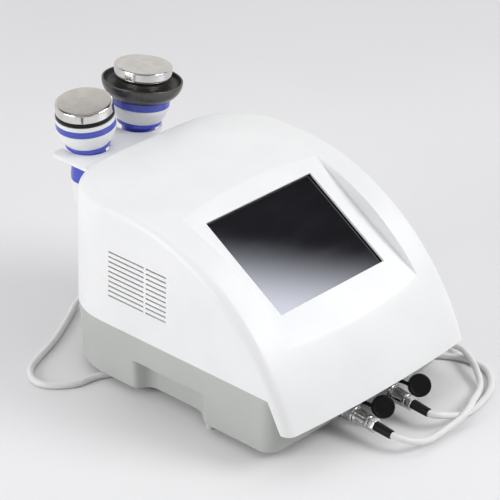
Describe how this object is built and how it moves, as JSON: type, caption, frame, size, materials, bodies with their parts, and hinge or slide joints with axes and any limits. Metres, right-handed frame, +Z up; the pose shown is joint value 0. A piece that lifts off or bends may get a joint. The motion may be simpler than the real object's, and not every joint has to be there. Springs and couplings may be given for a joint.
{
  "type": "cavitation slimming machine",
  "caption": "Desk console with an arc-shaped white case, sunk screen, grey base and a rear shelf holding two cabled ultrasound handpieces.",
  "frame": {"origin": "on the table, under the middle of the bounding box of the machine without its cables and plugs", "axes": "+Z up, the screen and the connectors face -Y, +X to the right as seen from the front"},
  "size_m": [0.3756, 0.4981, 0.2725],
  "materials": {
    "white_shell": "fine satin",
    "grey_shell": "fine texture",
    "blue_shell": "gloss",
    "clear_rubber": "clear",
    "black_rubber": "matt",
    "black_plastic": "fine texture",
    "screen": "polished",
    "panel_silver": "smooth",
    "satin_steel": "satin",
    "polished_horn": "polished",
    "gunmetal": "dark satin",
    "nickel": "satin",
    "sheet": "mill",
    "board": "solder mask",
    "core": "taped",
    "cable": "satin"
  },
  "bodies": {
    "console": {"upper_case": "white_shell", "base_tray": "grey_shell", "handpiece_shelf": "white_shell", "shelf_screw_1": "satin_steel", "shelf_screw_2": "satin_steel", "shelf_screw_3": "satin_steel", "foot_front_left": "clear_rubber", "foot_front_right": "clear_rubber", "foot_rear_left": "clear_rubber", "foot_rear_right": "clear_rubber", "screen_gasket": "black_rubber", "screen_glass": "screen", "lcd_module": "panel_silver", "lcd_bracket": "sheet", "control_board": "board", "buzzer": "black_plastic", "chassis_plate": "sheet", "power_supply": "sheet", "transformer": "core", "driver_board": "board", "heat_sink": "sheet", "fan_frame": "black_plastic", "mains_inlet": "black_plastic", "switch_housing": "black_plastic", "socket_left": "nickel", "socket_right": "nickel", "plug_body_left": "nickel", "plug_body_right": "nickel", "clamp_nut_left": "gunmetal", "clamp_nut_right": "gunmetal", "sleeve_left": "black_rubber", "sleeve_right": "black_rubber", "cable_a": "cable", "cable_b": "cable"},
    "handpiece_a": {"grip_a": "blue_shell", "tail_a": "white_shell", "boot_a": "cable", "collar_a": "white_shell", "stripe_a": "blue_shell", "rim_a": "white_shell", "seal_a": "black_rubber", "head_a": "satin_steel", "transducer_a": "nickel"},
    "handpiece_b": {"grip_b": "blue_shell", "tail_b": "white_shell", "boot_b": "cable", "collar_b": "white_shell", "stripe_b": "blue_shell", "cup_b": "gunmetal", "horn_b": "polished_horn", "transducer_b": "nickel"},
    "fan": {"fan_rotor": "black_plastic"},
    "rocker": {"power_rocker": "black_plastic"},
    "fuse": {"fuse_drawer": "black_plastic"},
    "nut_left": {"coupling_nut_left": "gunmetal"},
    "nut_right": {"coupling_nut_right": "gunmetal"},
    "cap_left": {"dust_cap_left": "black_rubber"},
    "cap_right": {"dust_cap_right": "black_rubber"}
  },
  "joints": [
    {"name": "handpiece_a_lift", "type": "slide", "parent": "console", "child": "handpiece_a", "axis": [-0.1132, 0, 0.9936], "range_m": [0, 0.12]},
    {"name": "handpiece_b_lift", "type": "slide", "parent": "console", "child": "handpiece_b", "axis": [0.0958, 0, 0.9954], "range_m": [0, 0.12]},
    {"name": "fan_spin", "type": "hinge", "parent": "console", "child": "fan", "pos_m": [0.1148, 0.00383, 0.1375], "axis": [1, 0, 0], "continuous": true},
    {"name": "power_switch", "type": "hinge", "parent": "console", "child": "rocker", "pos_m": [-0.03, 0.12963, 0.03593], "axis": [-1, 0, 0], "range_deg": [0, 22]},
    {"name": "fuse_pull", "type": "slide", "parent": "console", "child": "fuse", "axis": [0, 0.9964, -0.0844], "range_m": [0, 0.016]},
    {"name": "nut_left_turn", "type": "hinge", "parent": "console", "child": "nut_left", "pos_m": [-0.03, -0.18051, 0.0235], "axis": [0, -0.9964, -0.0844], "range_deg": [0, 540]},
    {"name": "nut_right_turn", "type": "hinge", "parent": "console", "child": "nut_right", "pos_m": [0.03, -0.18051, 0.0235], "axis": [0, -0.9964, -0.0844], "range_deg": [0, 540]},
    {"name": "cap_left_swing", "type": "hinge", "parent": "console", "child": "cap_left", "pos_m": [-0.03, -0.18051, 0.0235], "axis": [0, -0.9964, -0.0844], "range_deg": [-10, 12]},
    {"name": "cap_right_swing", "type": "hinge", "parent": "console", "child": "cap_right", "pos_m": [0.03, -0.18051, 0.0235], "axis": [0, -0.9964, -0.0844], "range_deg": [-10, 12]}
  ]
}
